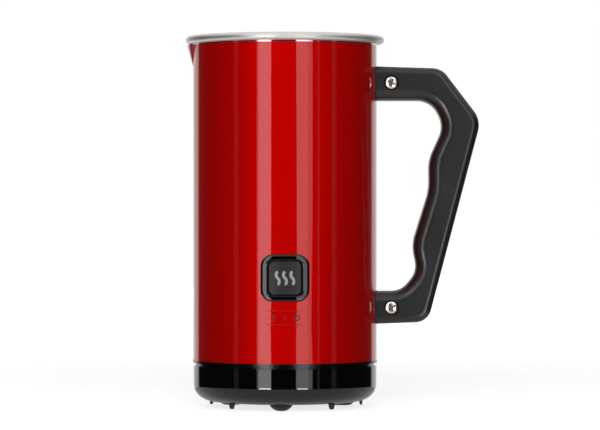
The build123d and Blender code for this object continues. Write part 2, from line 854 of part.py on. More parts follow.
# ---------------------------------------------------------------- control board
def control_board():
    """Round circuit board under the chassis."""
    board = cylinder(board_radius, board_low, chassis_lift)
    return cut_all(board, pegs(board_screw_radius + seat_gap, 0, chassis_lift + overcut,
                               board_screw_circle, board_screw_angles))


def board_relay():
    """Heater relay on top of the board."""
    x, y, z = relay_size
    return block((relay_place - x / 2, relay_place + x / 2), (-y / 2, y / 2),
                 (chassis_lift, chassis_lift + z))


def board_capacitors():
    """Two capacitors beside the relay."""
    x, y = capacitor_place
    return group([cylinder(capacitor_radius, chassis_lift, chassis_lift + capacitor_height, place)
                  for place in ((x, y), (x, -y))])


def board_transformer():
    """Small transformer that hangs under the board."""
    x, y, z = transformer_size
    return block((-x / 2, x / 2), (transformer_place - y / 2, transformer_place + y / 2),
                 (board_low - z, board_low))


def board_terminals():
    """Two rows of push-on terminals under the board."""
    x, y, z = terminal_size
    rows = []
    for angle in (0, 180):
        row = block((terminal_circle - y / 2, terminal_circle + y / 2), (-x / 2, x / 2),
                    (board_low - z, board_low))
        rows.append(Rot(0, 0, angle) * row)
    return group(rows)


def board_screws():
    """Three screws that hold the board to the chassis."""
    return group([upright_screw(polar(board_screw_circle, angle), 2 * board_screw_radius,
                                board_low - 1.6, board_low, board_screw_radius,
                                chassis_floor_top - 0.5) for angle in board_screw_angles])


# ---------------------------------------------------------------- motor mounting
def motor_plate():
    """Steel plate with three arms that carries the motor."""
    low, high = motor_plate_lift, motor_plate_top
    arm = block((0, standoff_circle), (-motor_arm_width / 2, motor_arm_width / 2), (low, high))
    arms = [Rot(0, 0, angle) * arm for angle in standoff_angles]
    pads = pegs(motor_arm_width / 2, low, high, standoff_circle, standoff_angles)
    shape = join_all([cylinder(motor_plate_hub, low, high)] + arms + pads)
    shape -= cylinder(motor_boss_radius + seat_gap, low - overcut, high + overcut)
    studs = pegs(stud_radius + slip_gap, low - overcut, high + overcut, standoff_circle, standoff_angles)
    screws = pegs(motor_screw_radius + slip_gap, low - overcut, high + overcut, motor_screw_circle,
                  (0, 180))
    notch = wire_radius + air_gap          # lets the sensor's wire past a wide hub
    wire_notch = cylinder(notch, low - overcut, high + overcut, (sensor_place, 0))
    wire_notch += block((sensor_place, sensor_place + motor_plate_margin), (-notch, notch),
                        (low - overcut, high + overcut))
    return cut_all(shape, studs + screws + [Rot(0, 0, sensor_angle) * wire_notch])


def lower_standoffs():
    """Three pillars from the chassis to the motor plate."""
    pillars = []
    for angle in standoff_angles:
        place = polar(standoff_circle, angle)
        pillar = cylinder(standoff_radius, chassis_floor_top, motor_plate_lift, place)
        pillar -= cylinder(screw_radius + seat_gap, 0, chassis_floor_top + 6, place)
        pillar -= cylinder(stud_radius + seat_gap, motor_plate_lift - stud_length,
                           motor_plate_lift + overcut, place)
        pillars.append(pillar)
    return group(pillars)


def upper_standoffs():
    """Three pillars welded under the pot, with studs down through the motor plate."""
    pillars = []
    for angle in standoff_angles:
        place = polar(standoff_circle, angle)
        pillar = cylinder(upper_standoff_radius, motor_plate_top, pot_floor_lift, place)
        stud_end = motor_plate_lift - stud_length + 0.5
        pillars.append(pillar + cylinder(stud_radius, stud_end, motor_plate_top, place))
    return group(pillars)


def chassis_screws():
    """Three screws up through the chassis into the lower pillars."""
    return group([upright_screw(polar(standoff_circle, angle), screw_head_radius,
                                chassis_lift - screw_head, chassis_lift, screw_radius,
                                chassis_floor_top + 5) for angle in standoff_angles])


def motor_screws():
    """Two screws from the plate into the motor."""
    return group([upright_screw(polar(motor_screw_circle, angle), motor_screw_head_radius,
                                motor_plate_top, motor_plate_top + 1.3, motor_screw_radius,
                                motor_plate_lift - 2) for angle in (0, 180)])


# ---------------------------------------------------------------- motor
def motor_can():
    """Drawn steel can with a boss for the upper bush."""
    shape = cylinder(motor_radius, motor_open_end, motor_plate_lift)
    shape += cylinder(motor_boss_radius, motor_plate_lift, motor_plate_top)
    shape -= cylinder(can_bore, motor_open_end - overcut, motor_plate_lift - motor_front)
    shape -= cylinder(bush_radius + seat_gap, 0, motor_plate_top + overcut)
    holes = pegs(motor_screw_radius + seat_gap, motor_plate_lift - 2.1, motor_plate_lift + overcut,
                 motor_screw_circle, (0, 180))
    return cut_all(shape, holes)


def motor_end_cap():
    """Moulded cap that closes the can and holds the brushes."""
    shape = cylinder(motor_radius, motor_low, motor_open_end)
    shape += cylinder(can_bore - seat_gap, motor_open_end, spigot_top)
    return shape - cylinder(bush_radius + seat_gap, 0, spigot_top + overcut)


def motor_bushings():
    """Two sintered bushes for the shaft."""
    bore = shaft_radius + running_gap
    lower = tube(bush_radius, bore, motor_low, spigot_top)
    upper = tube(bush_radius, bore, motor_plate_lift - motor_front, motor_plate_top)
    return group([lower, upper])


def motor_magnets():
    """Two arc magnets against the inside of the can."""
    outer = can_bore - seat_gap
    low = motor_open_end + magnet_lift
    ring = tube(outer, outer - magnet_thickness, low, low + magnet_length)
    split = block((-2 * outer, 2 * outer), (-2.5, 2.5), (low - overcut, low + magnet_length + overcut))
    return group([ring - split])


def motor_brushes():
    """Two carbon brushes beside the commutator."""
    start = commutator_radius + air_gap
    half = brush_width / 2
    height = (spigot_top, spigot_top + commutator_length + air_gap)
    sides = ((start, start + brush_length), (-start - brush_length, -start))
    return group([block(side, (-half, half), height) for side in sides])


def motor_shaft():
    """Steel shaft from the lower bush up to the magnet carrier."""
    return cylinder(shaft_radius, motor_low + 0.5, carrier_top - drive_magnet_height)


def motor_armature():
    """Three-pole laminated core."""
    radius = can_bore - seat_gap - magnet_thickness - armature_gap
    low, high = armature_low, armature_low + armature_length
    core = tube(radius, shaft_radius, low, high)
    slot = block((winding_radius / 2, 2 * radius), (-1.2, 1.2), (low - overcut, high + overcut))
    return cut_all(core, [Rot(0, 0, angle) * slot for angle in (60, 180, 300)])


def motor_windings():
    """End turns of the copper windings, above and below the core."""
    low, high = armature_low, armature_low + armature_length
    inner = shaft_radius
    return group([tube(winding_radius, inner, low - winding_height, low),
                  tube(winding_radius, inner, high, high + winding_height)])


def commutator():
    """Copper commutator under the windings."""
    low = spigot_top + air_gap
    return tube(commutator_radius, shaft_radius, low, low + commutator_length)


def magnet_carrier():
    """Disc on the shaft that carries the drive magnets under the pot."""
    hub = cylinder(carrier_hub_radius, carrier_low - carrier_hub, carrier_low)
    shape = hub + cylinder(carrier_radius, carrier_low, carrier_top)
    shape -= cylinder(shaft_radius, 0, carrier_top - drive_magnet_height)
    return cut_all(shape, drive_magnet_pegs(seat_gap))


def drive_magnet_pegs(gap):
    """Round magnets in the carrier; a gap makes them cutting tools for their pockets."""
    angles = [turn * 360 / drive_magnet_count for turn in range(drive_magnet_count)]
    top = carrier_top + (overcut if gap else 0)
    return pegs(drive_magnet_radius + gap, carrier_top - drive_magnet_height, top,
                drive_magnet_circle, angles)


# ---------------------------------------------------------------- heater
def heater_plate():
    """Aluminium ring that spreads the heat under the pot."""
    return tube(heater_outer, heater_inner, heater_low, pot_floor_lift)


def heating_element():
    """C-shaped sheathed element with a terminal pin at each end."""
    lift = heater_low - element_radius
    section = Pos(element_circle, 0, lift) * Rot(90, 0, 0) * Circle(element_radius)
    start = Rot(0, 0, element_gap) * section
    shape = revolve(start, Axis.Z, 360 - 2 * element_gap)
    for angle in element_pin_angles:
        shape += cylinder(element_pin_radius, lift - element_pin_length, lift,
                          polar(element_circle, angle))
    return shape


def thermostat():
    """Round safety thermostat against the heater plate."""
    place = (thermostat_place, 0)
    body = cylinder(thermostat_radius, heater_low - thermostat_height, heater_low, place)
    low = heater_low - thermostat_height
    tabs = [block((thermostat_place - 0.4, thermostat_place + 0.4), (y - 2, y + 2),
                  (low - thermostat_tab, low)) for y in (-thermostat_tab, thermostat_tab)]
    return join_all([body] + tabs)


def temperature_sensor():
    """Thin sensor between the element and the drive."""
    return cylinder(sensor_radius, heater_low - sensor_height, heater_low,
                    polar(sensor_place, sensor_angle))


# ---------------------------------------------------------------- wires
def wire(*points, bend=wire_bend):
    """Insulated wire through a few points, its bends rounded."""
    path = FilletPolyline(*points, radius=bend)
    return sweep(Plane(origin=path @ 0, z_dir=path % 0) * Circle(wire_radius), path=path)


def hanging_wire(x, y, start):
    """Wire that hangs from a terminal, turns inwards if it must and goes down to the board."""
    reach = sqrt(x**2 + y**2)
    if reach <= chassis_hole - wire_edge_gap - wire_radius:
        return cylinder(wire_radius, chassis_lift, start, (x, y))
    duct = chassis_hole - wire_inset
    inner_x, inner_y = x * duct / reach, y * duct / reach
    knee = chassis_floor_top + wire_knee
    longest_bend = 0.48 * sqrt(2) * (reach - duct) / tan(radians(22.5))   # both ends of the slope
    return wire((x, y, start), (x, y, knee + reach - duct), (inner_x, inner_y, knee),
                (inner_x, inner_y, chassis_lift), bend=min(wire_bend, longest_bend))


def wiring_harness():
    """Wires from the board to the motor, the heater, the thermostat, the sensor and the switch."""
    pin_end = heater_low - element_radius - element_pin_length
    wires = [hanging_wire(*polar(element_circle, angle), pin_end) for angle in element_pin_angles]
    tab_end = heater_low - thermostat_height - thermostat_tab
    wires += [hanging_wire(thermostat_place, y, tab_end) for y in (-thermostat_tab, thermostat_tab)]
    wires.append(hanging_wire(*polar(sensor_place, sensor_angle), heater_low - sensor_height))
    duct = wire_inset - chassis_hole
    back = inward(switch_board_depth) + board_thickness
    lift = button_lift - switch_wire_drop
    for x in (-switch_wire_spacing, switch_wire_spacing):
        wires.append(wire((x, back, lift), (x, back + wire_bend + 1, lift),
                          (x, duct, chassis_floor_top + wire_bend + wire_knee), (x, duct, chassis_lift)))
    wires += [cylinder(wire_radius, chassis_lift, motor_low, (0, y))
              for y in (-motor_wire_place, motor_wire_place)]
    return group(wires)


# ---------------------------------------------------------------- whisk
def whisk_bush():
    """Bush that drops over the post and stays still while the whisk turns on it."""
    flange = tube(post_flange_radius, bush_bore, bush_low, bush_low + bush_flange_height)
    return flange + tube(bush_outer, bush_bore, bush_low, bush_low + bush_length)


def whisk_magnet_pegs(gap):
    """Round magnets in the whisk's disc; a gap makes them cutting tools."""
    angles = [45 + turn * 90 for turn in range(4)]
    low = whisk_low + 0.9
    return pegs(whisk_magnet_radius + gap, low, low + whisk_magnet_height + gap, whisk_magnet_circle,
                angles)


def whisk_hub():
    """Disc and hub with wire arms that carry the ring inside the spring."""
    disc = cylinder(whisk_disc_radius, whisk_low, whisk_low + whisk_disc_height)
    shape = disc + cylinder(whisk_hub_radius, whisk_low, whisk_low + whisk_hub_height)
    pitch = 360 / spring_turns
    for turn in range(whisk_arm_count):
        middle = (whisk_disc_radius + whisk_ring_radius) / 2 - 0.5
        length = whisk_ring_radius - whisk_disc_radius + 1
        arm = Pos(middle, 0, spring_lift) * Rot(0, 90, 0) * Cylinder(whisk_arm_radius, length)
        shape += Rot(0, 0, pitch / 2 + turn * 360 / whisk_arm_count) * arm
    shape += Pos(0, 0, spring_lift) * Torus(whisk_ring_radius, whisk_ring_wire)
    shape -= cylinder(bush_outer + running_gap, 0, total_height)
    return cut_all(shape, whisk_magnet_pegs(seat_gap))


def whisk_spring():
    """Turns of the frothing spring, wound round the whisk's ring."""
    turn_shape = Pos(whisk_ring_radius, 0, spring_lift) * Rot(90, 0, 0) * Torus(spring_coil_radius,
                                                                                spring_wire)
    return group([Rot(0, 0, turn * 360 / spring_turns) * turn_shape for turn in range(spring_turns)])


# ---------------------------------------------------------------- the whole jug
def jug_parts():
    """Every sub-part by the name of its node."""
    return {
        "outer_shell": outer_shell(),
        "inner_pot": inner_pot(),
        "whisk_post": whisk_post(),
        "handle": handle(),
        "handle_bracket_lower": drilled_bracket(bracket_lifts[0]),
        "handle_bracket_upper": drilled_bracket(bracket_lifts[1]),
        "handle_screws": group([handle_screw(lift) for lift in bracket_lifts]),
        "button_bezel": button_bezel(),
        "button_cap": button_cap(),
        "steam_symbol": steam_symbol(),
        "button_seal": button_seal(),
        "switch_housing": switch_housing(),
        "switch_board": switch_board(),
        "switch_screws": switch_screws(),
        "tact_switch": tact_switch(),
        "switch_plunger": switch_plunger(),
        "indicator_leds": indicator_leds(),
        "chassis": chassis(),
        "base_cup": base_cup(),
        "foot_front": rubber_foot(foot_angles[0]),
        "foot_rear_right": rubber_foot(foot_angles[1]),
        "foot_rear_left": rubber_foot(foot_angles[2]),
        "base_screws": base_screws(),
        "connector_body": connector_body(),
        "connector_pin": connector_pin(),
        "connector_ring": connector_ring(),
        "earth_ring": earth_ring(),
        "connector_screws": connector_screws(),
        "control_board": control_board(),
        "board_relay": board_relay(),
        "board_capacitors": board_capacitors(),
        "board_transformer": board_transformer(),
        "board_terminals": board_terminals(),
        "board_screws": board_screws(),
        "motor_plate": motor_plate(),
        "lower_standoffs": lower_standoffs(),
        "upper_standoffs": upper_standoffs(),
        "chassis_screws": chassis_screws(),
        "motor_screws": motor_screws(),
        "motor_can": motor_can(),
        "motor_end_cap": motor_end_cap(),
        "motor_bushings": motor_bushings(),
        "motor_magnets": motor_magnets(),
        "motor_brushes": motor_brushes(),
        "motor_shaft": motor_shaft(),
        "motor_armature": motor_armature(),
        "motor_windings": motor_windings(),
        "commutator": commutator(),
        "magnet_carrier": magnet_carrier(),
        "drive_magnets": group(drive_magnet_pegs(0)),
        "heater_plate": heater_plate(),
        "heating_element": heating_element(),
        "thermostat": thermostat(),
        "temperature_sensor": temperature_sensor(),
        "wiring_harness": wiring_harness(),
        "whisk_bush": whisk_bush(),
        "whisk_hub": whisk_hub(),
        "whisk_magnets": group(whisk_magnet_pegs(0)),
        "whisk_spring": whisk_spring(),
    }


os.makedirs("parts", exist_ok=True)
for name, shape in jug_parts().items():
    export_step(shape, f"parts/{name}.step")
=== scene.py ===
# %% [markdown]
# # A milk frothing jug
# The jug is a red lacquered steel sleeve round a stainless pot, on a gloss base, with a moulded
# handle and a lit button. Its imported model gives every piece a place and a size, so the lesson
# starts by loading that model, and new pieces take their places from it.

# %% Load the frame
import json
from math import cos, pi, radians, sin, sqrt

import bmesh
import bpy
from mathutils import Matrix, Vector


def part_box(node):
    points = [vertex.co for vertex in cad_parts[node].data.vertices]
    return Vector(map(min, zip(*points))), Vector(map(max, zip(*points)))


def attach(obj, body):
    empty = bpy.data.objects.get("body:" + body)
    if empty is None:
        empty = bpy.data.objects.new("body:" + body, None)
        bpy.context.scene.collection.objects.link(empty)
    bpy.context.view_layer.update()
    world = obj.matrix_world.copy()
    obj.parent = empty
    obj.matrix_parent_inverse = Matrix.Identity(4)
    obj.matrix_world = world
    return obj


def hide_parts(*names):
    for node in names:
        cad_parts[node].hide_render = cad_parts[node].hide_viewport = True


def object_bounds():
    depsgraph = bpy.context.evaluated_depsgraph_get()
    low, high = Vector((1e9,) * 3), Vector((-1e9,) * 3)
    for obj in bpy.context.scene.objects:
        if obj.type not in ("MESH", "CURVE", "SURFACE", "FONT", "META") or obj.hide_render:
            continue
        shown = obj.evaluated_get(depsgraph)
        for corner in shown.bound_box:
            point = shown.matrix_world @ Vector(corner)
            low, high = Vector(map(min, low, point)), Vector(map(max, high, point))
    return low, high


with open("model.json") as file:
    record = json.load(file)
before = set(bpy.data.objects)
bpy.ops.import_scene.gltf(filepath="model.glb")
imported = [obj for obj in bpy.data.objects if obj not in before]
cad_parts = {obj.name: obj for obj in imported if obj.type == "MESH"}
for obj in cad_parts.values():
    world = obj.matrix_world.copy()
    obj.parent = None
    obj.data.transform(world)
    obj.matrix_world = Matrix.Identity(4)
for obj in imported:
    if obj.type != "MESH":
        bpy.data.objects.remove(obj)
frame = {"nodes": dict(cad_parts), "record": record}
nodes = frame["nodes"]
cad_low, cad_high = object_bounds()
scene = bpy.context.scene
mm = 0.001
print("nodes:", len(nodes), "height in mm:", round(cad_high.z / mm, 1))

# %% [markdown]
# ## Colours and shader nodes
# A paint card gives colours in sRGB, while a shader works in linear light, so one function turns
# one into the other. A material is a small tree of nodes. It would take five lines to add each
# node by hand, so a second function adds one, sets it and links it in a single call.

# %% Two helpers for materials
def linear(code, alpha=1.0):
    """Turns an sRGB hex colour to the linear values that a shader takes."""
    channels = [int(code[place:place + 2], 16) / 255 for place in (1, 3, 5)]
    light = [c / 12.92 if c <= 0.04045 else ((c + 0.055) / 1.055) ** 2.4 for c in channels]
    return (*light, alpha)


def add_node(tree, kind, settings=None, **inputs):
    """Adds a shader node. An input is a value, or the socket of another node to link from.
    Inputs go by name, with _ for a space, or by number as _0, _1."""
    made = tree.nodes.new("ShaderNode" + kind)
    for name, value in (settings or {}).items():
        setattr(made, name, value)
    for name, value in inputs.items():
        socket = made.inputs[int(name[1:]) if name[0] == "_" else name.replace("_", " ")]
        if isinstance(value, bpy.types.NodeSocket):
            tree.links.new(value, socket)
        else:
            socket.default_value = value
    return made


print("white is", linear("#ffffff")[:3])

# %% [markdown]
# ## Camera
# A long lens far away keeps the sleeve's sides upright, as a catalogue shows them. The camera is
# level with the middle of the jug and looks very slightly down.

# %% Camera
camera_distance = 1.52
view_width = 294.3 * mm              # how much the camera sees across, at the jug
sensor_width = 36
camera_height = 0.5615 * cad_high.z
view_centre = Vector((7.35 * mm, 0, camera_height - 7.85 * mm))
camera = bpy.data.cameras.new("camera")
camera.sensor_width = sensor_width
camera.lens = sensor_width * camera_distance / view_width
camera_object = bpy.data.objects.new("camera", camera)
scene.collection.objects.link(camera_object)
camera_object.location = (0, -camera_distance, camera_height)
aim = view_centre - camera_object.location
camera_object.rotation_euler = aim.to_track_quat("-Z", "Y").to_euler()
scene.camera = camera_object
scene.view_settings.view_transform = "Standard"
print("lens in mm:", round(camera.lens))

# %% [markdown]
# ## Lamps
# Gloss paint shows the shape of its lamps, so two tall softboxes stand either side of the camera:
# they draw the two upright bands on the sleeve. A narrow, dimmer lamp beside each softens the
# band's outer edge, three faint ones draw thin lines nearer the sides, and two low, bright ones
# shine up at the base and put a short light patch on its curved foot. Two fill lamps only light
# the colours, and are hidden from reflections so that they draw nothing.

# %% Lamps
def softbox(name, angle, distance, heights, width, radiance, in_gloss):
    """Adds an upright lamp at an angle round the jug from -Y, between two heights."""
    lamp = bpy.data.lights.new(name, "AREA")
    lamp.shape = "RECTANGLE"
    lamp.size, lamp.size_y = width, heights[1] - heights[0]
    lamp.energy = radiance * pi * lamp.size * lamp.size_y
    made = bpy.data.objects.new(name, lamp)
    scene.collection.objects.link(made)
    middle = (heights[0] + heights[1]) / 2
    place = Vector((distance * sin(radians(angle)), -distance * cos(radians(angle)), middle))
    made.location = place
    made.rotation_euler = (Vector((0, 0, middle)) - place).to_track_quat("-Z", "Y").to_euler()
    made.visible_glossy = in_gloss


tall, low, high = (-0.5, 1.1), (-0.30, -0.12), (0.3, 1.5)
lamps = (
    # name, angle in degrees, distance, heights, width, radiance, seen in gloss
    ("strip_left", -24.7, 1.2, tall, 0.325, 2.6, True),
    ("soft_edge_left", -33.4, 1.2, tall, 0.05, 1.1, True),
    ("strip_right", 21.0, 1.2, tall, 0.315, 1.75, True),
    ("soft_edge_right", 31.1, 1.2, tall, 0.11, 1.2, True),
    ("line_left", -62.5, 1.2, tall, 0.14, 0.13, True),
    ("line_right", 41.5, 1.2, tall, 0.05, 0.22, True),
    ("edge_right", 62.5, 1.2, tall, 0.14, 0.13, True),
    ("foot_left", -24.7, 1.19, low, 0.30, 12, True),
    ("foot_right", 21.6, 1.19, low, 0.27, 9, True),
    ("fill_front", 0, 2.0, high, 0.8, 4.9, False),
    ("fill_back", 180, 2.2, high, 0.7, 3.6, False),
)
for lamp in lamps:
    softbox(*lamp)
print("lamps:", len(bpy.data.lights))

# %% [markdown]
# ## World
# The camera sees plain white. Reflections see a studio instead: dark in front, so that the red
# stays deep, and white behind, above and below, so that edges and steel are bright. Matt surfaces
# get an even, low light from all round.

# %% World
world = bpy.data.worlds.new("studio")
scene.world = world
world.use_nodes = True
tree = world.node_tree
tree.nodes.clear()
direction = add_node(tree, "TexCoord").outputs["Generated"]
split = add_node(tree, "SeparateXYZ", Vector=direction)
dark_front, matt_light = 0.015, 0.04
smooth = {"interpolation_type": "SMOOTHSTEP"}
brighter = {"operation": "MAXIMUM"}
behind = add_node(tree, "MapRange", smooth, Value=split.outputs["Y"],
                  From_Min=0.72, From_Max=0.80, To_Min=dark_front, To_Max=1.0)
above = add_node(tree, "MapRange", smooth, Value=split.outputs["Z"],
                 From_Min=0.25, From_Max=0.65, To_Min=dark_front, To_Max=0.8)
below = add_node(tree, "MapRange", smooth, Value=split.outputs["Z"],
                 From_Min=-0.25, From_Max=-0.6, To_Min=dark_front, To_Max=0.7)
round_front = add_node(tree, "Math", brighter, _0=above.outputs[0], _1=below.outputs[0])
studio = add_node(tree, "Math", brighter, _0=behind.outputs[0], _1=round_front.outputs[0])
path = add_node(tree, "LightPath")
plain = add_node(tree, "Math", brighter, _0=path.outputs["Is Camera Ray"],
                 _1=path.outputs["Is Transmission Ray"])
matt = add_node(tree, "Mix", _0=path.outputs["Is Glossy Ray"], _2=matt_light, _3=studio.outputs[0])
level = add_node(tree, "Mix", _0=plain.outputs[0], _2=matt.outputs[0], _3=1.0)
background = add_node(tree, "Background", Color=(1, 1, 1, 1), Strength=level.outputs[0])
add_node(tree, "OutputWorld", Surface=background.outputs[0])
print("world nodes:", len(tree.nodes))

# %% [markdown]
# ## Floor
# A sheet of white paper under the jug keeps its soft shadow. The camera sees it nearly white. In
# reflections it is only as large as a plate, so the base mirrors the studio and not the paper. Seen
# from below it is clear, so that the underside can be looked at.

# %% Floor
bm = bmesh.new()
floor_half = 6
plate, plate_fade = 0.085, 0.10      # radii between which the mirrored floor ends
bmesh.ops.create_grid(bm, x_segments=1, y_segments=1, size=floor_half)
mesh = bpy.data.meshes.new("floor")
bm.to_mesh(mesh)
bm.free()
floor = bpy.data.objects.new("floor", mesh)
scene.collection.objects.link(floor)
paper = bpy.data.materials.new("white_paper")
paper.use_nodes = True
tree = paper.node_tree
tree.nodes.clear()
path = add_node(tree, "LightPath")
place = add_node(tree, "TexCoord").outputs["Object"]
reach = add_node(tree, "VectorMath", {"operation": "LENGTH"}, _0=place)
far = add_node(tree, "MapRange", Value=reach.outputs["Value"],
               From_Min=0.3, From_Max=1.5, To_Min=0.78)
to_camera = add_node(tree, "Math", {"operation": "MULTIPLY"}, _0=path.outputs["Is Camera Ray"],
                     _1=far.outputs[0])
to_gloss = add_node(tree, "Math", {"operation": "MULTIPLY_ADD"}, _0=path.outputs["Is Glossy Ray"],
                    _1=0.3, _2=to_camera.outputs[0])
matt = add_node(tree, "BsdfDiffuse", Color=linear("#ececec"))
glow = add_node(tree, "Emission", Color=(1, 1, 1, 1), Strength=to_gloss.outputs[0])
seen = add_node(tree, "AddShader", _0=matt.outputs[0], _1=glow.outputs[0])
outside = add_node(tree, "MapRange", Value=reach.outputs["Value"],
                   From_Min=plate, From_Max=plate_fade)
mirrored = add_node(tree, "Math", {"operation": "MULTIPLY"}, _0=outside.outputs[0],
                    _1=path.outputs["Is Glossy Ray"])
from_below = add_node(tree, "NewGeometry").outputs["Backfacing"]
hidden = add_node(tree, "Math", {"operation": "MAXIMUM"}, _0=mirrored.outputs[0], _1=from_below)
clear = add_node(tree, "BsdfTransparent")
surface = add_node(tree, "MixShader", Fac=hidden.outputs[0], _1=seen.outputs[0],
                   _2=clear.outputs[0])
add_node(tree, "OutputMaterial", Surface=surface.outputs[0])
mesh.materials.append(paper)
print("floor:", 2 * floor_half, "m across")

# %% [markdown]
# ## Red lacquer
# The sleeve is stamped steel, sprayed with a red coat that carries a fine metal flake, then with
# clear gloss, and baked. The flake makes the red glow where the sleeve faces the light and fall
# off towards its sides. The clear coat gives mirror-sharp bands over a very slight orange peel.
# The paint stops just short of the rim, where a hairline of bare steel shows.

# %% Materials: a start, and the lacquer
def surface_of(name, **values):
    """Starts a material with one Principled shader and sets its sockets."""
    made = bpy.data.materials.new(name)
    made.use_nodes = True
    shader = made.node_tree.nodes["Principled BSDF"]
    for socket, value in values.items():
        shader.inputs[socket.replace("_", " ")].default_value = value
    return made, made.node_tree, shader


def object_place(tree):
    """The point on the piece, in metres from the foot of the jug's axis."""
    return add_node(tree, "TexCoord").outputs["Object"]


def bump_from(tree, shader, height, distance):
    """Raises the surface by a height pattern of 0 to 1 times a distance in metres."""
    bump = add_node(tree, "Bump", Height=height, Distance=distance, Strength=1.0)
    tree.links.new(bump.outputs[0], shader.inputs["Normal"])


rim_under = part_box("outer_shell")[1].z
bare_start, bare_full = rim_under - 0.75 * mm, rim_under - 0.65 * mm
red_rough, bare_rough, red_flake = 0.5, 0.06, 0.45
red_lacquer, tree, shader = surface_of("red_baked_lacquer", Roughness=red_rough, Coat_IOR=1.5,
                                        Specular_IOR_Level=0.0, Coat_Weight=1.0,
                                        Coat_Roughness=0.04)
place = object_place(tree)
peel = add_node(tree, "TexNoise", Vector=place, Scale=1 / (1.6 * mm), Detail=1.0)
bump_from(tree, shader, peel.outputs[0], 0.0012 * mm)
tree.links.new(shader.inputs["Normal"].links[0].from_socket, shader.inputs["Coat Normal"])
height = add_node(tree, "SeparateXYZ", Vector=place)
bare = add_node(tree, "MapRange", Value=height.outputs["Z"],
                From_Min=bare_start, From_Max=bare_full)
cloud = add_node(tree, "TexNoise", Vector=place, Scale=1 / (30 * mm), Detail=2.0)
tone = add_node(tree, "Mix", {"data_type": "RGBA"}, _0=cloud.outputs[0], _6=linear("#d40000"),
                _7=linear("#dc0101"))
colour = add_node(tree, "Mix", {"data_type": "RGBA"}, _0=bare.outputs[0], _6=tone.outputs[2],
                  _7=linear("#c9c6c2"))
tree.links.new(colour.outputs[2], shader.inputs["Base Color"])
sharp = add_node(tree, "MapRange", Value=bare.outputs[0], To_Min=red_rough, To_Max=bare_rough)
tree.links.new(sharp.outputs[0], shader.inputs["Roughness"])
flake = add_node(tree, "MapRange", Value=bare.outputs[0], To_Min=red_flake)
tree.links.new(flake.outputs[0], shader.inputs["Metallic"])
print("bare steel starts at", round(bare_start / mm, 1), "mm")

# %% [markdown]
# ## Turned steel
# The pot and its rolled rim are 18/10 stainless steel, polished on a lathe, so the fine scratches
# run round the axis. A pattern that barely changes round the axis and changes fast along it gives
# those rings, and to the eye a soft glow that runs round the pot. Real scratches are finer than
# such a view can show, so they are drawn 0.2 mm apart.

# %% Steel
def ring_place(tree, stretch):
    """A point for patterns that run round the jug's axis: its direction from the axis, scaled to
    stretch metres, and lifted by its radius and height."""
    place = object_place(tree)
    flat = add_node(tree, "VectorMath", {"operation": "MULTIPLY"}, _0=place, _1=(1, 1, 0))
    radius = add_node(tree, "VectorMath", {"operation": "LENGTH"}, _0=flat.outputs[0])
    way = add_node(tree, "VectorMath", {"operation": "NORMALIZE"}, _0=flat.outputs[0])
    small = add_node(tree, "VectorMath", {"operation": "SCALE"}, _0=way.outputs[0], Scale=stretch)
    height = add_node(tree, "SeparateXYZ", Vector=place)
    along = add_node(tree, "Math", {"operation": "ADD"}, _0=radius.outputs["Value"],
                     _1=height.outputs["Z"])
    lift = add_node(tree, "CombineXYZ", Z=along.outputs[0])
    ringed = add_node(tree, "VectorMath", {"operation": "ADD"}, _0=small.outputs[0],
                      _1=lift.outputs[0])
    return ringed.outputs[0]


def turned_steel(name, code, roughness, spacing, depth):
    """Steel polished on a lathe, with scratches a spacing apart in metres."""
    made, tree, shader = surface_of(name, Base_Color=linear(code), Metallic=1.0)
    scratch = add_node(tree, "TexNoise", Vector=ring_place(tree, 1 * mm), Scale=1 / spacing,
                       Detail=3.0)
    spread = add_node(tree, "MapRange", Value=scratch.outputs[0], From_Min=0.3, From_Max=0.7,
                      To_Min=roughness * 0.8, To_Max=roughness * 1.25)
    tree.links.new(spread.outputs[0], shader.inputs["Roughness"])
    bump_from(tree, shader, scratch.outputs[0], depth)
    return made


pot_steel = turned_steel("stainless_steel_polished_on_a_lathe", "#eceae7", 0.47, 0.2 * mm,
                         0.0015 * mm)
print("made", pot_steel.name)

# %% [markdown]
# ## Black plastics
# The handle is glass-filled nylon from a spark-eroded mould, which leaves a fine, even grain and a
# satin sheen that turns dark grey where it faces the lamps. The base and the button's frame are
# ABS from a polished mould: nearly a mirror, with the faintest ripple. The button is the same
# nylon with a finer grain, so it stays duller than its frame. The lip between the sleeve and the
# base is satin ABS, which keeps it a thin black ring. Terminals and inner mouldings are a plainer
# grey nylon, and the contact block is phenolic, a brown-black with a hard, dry shine.

# %% Plastics
def grained_plastic(name, code, roughness, grain, depth, ior=1.5):
    """Satin plastic with a moulded grain of a size and depth in metres."""
    made, tree, shader = surface_of(name, IOR=ior)
    place = object_place(tree)
    pits = add_node(tree, "TexNoise", Vector=place, Scale=1 / grain, Detail=2.0)
    flow = add_node(tree, "TexNoise", Vector=place, Scale=1 / (18 * mm), Detail=2.0)
    wear = add_node(tree, "MapRange", Value=flow.outputs[0], From_Min=0.3, From_Max=0.7,
                    To_Min=roughness * 0.92, To_Max=roughness * 1.08)
    tree.links.new(wear.outputs[0], shader.inputs["Roughness"])
    colour = linear(code)[:3]
    tone = add_node(tree, "Mix", {"data_type": "RGBA"}, _0=pits.outputs[0],
                    _6=(*(c * 0.8 for c in colour), 1), _7=(*(c * 1.2 for c in colour), 1))
    tree.links.new(tone.outputs[2], shader.inputs["Base Color"])
    bump_from(tree, shader, pits.outputs[0], depth)
    return made


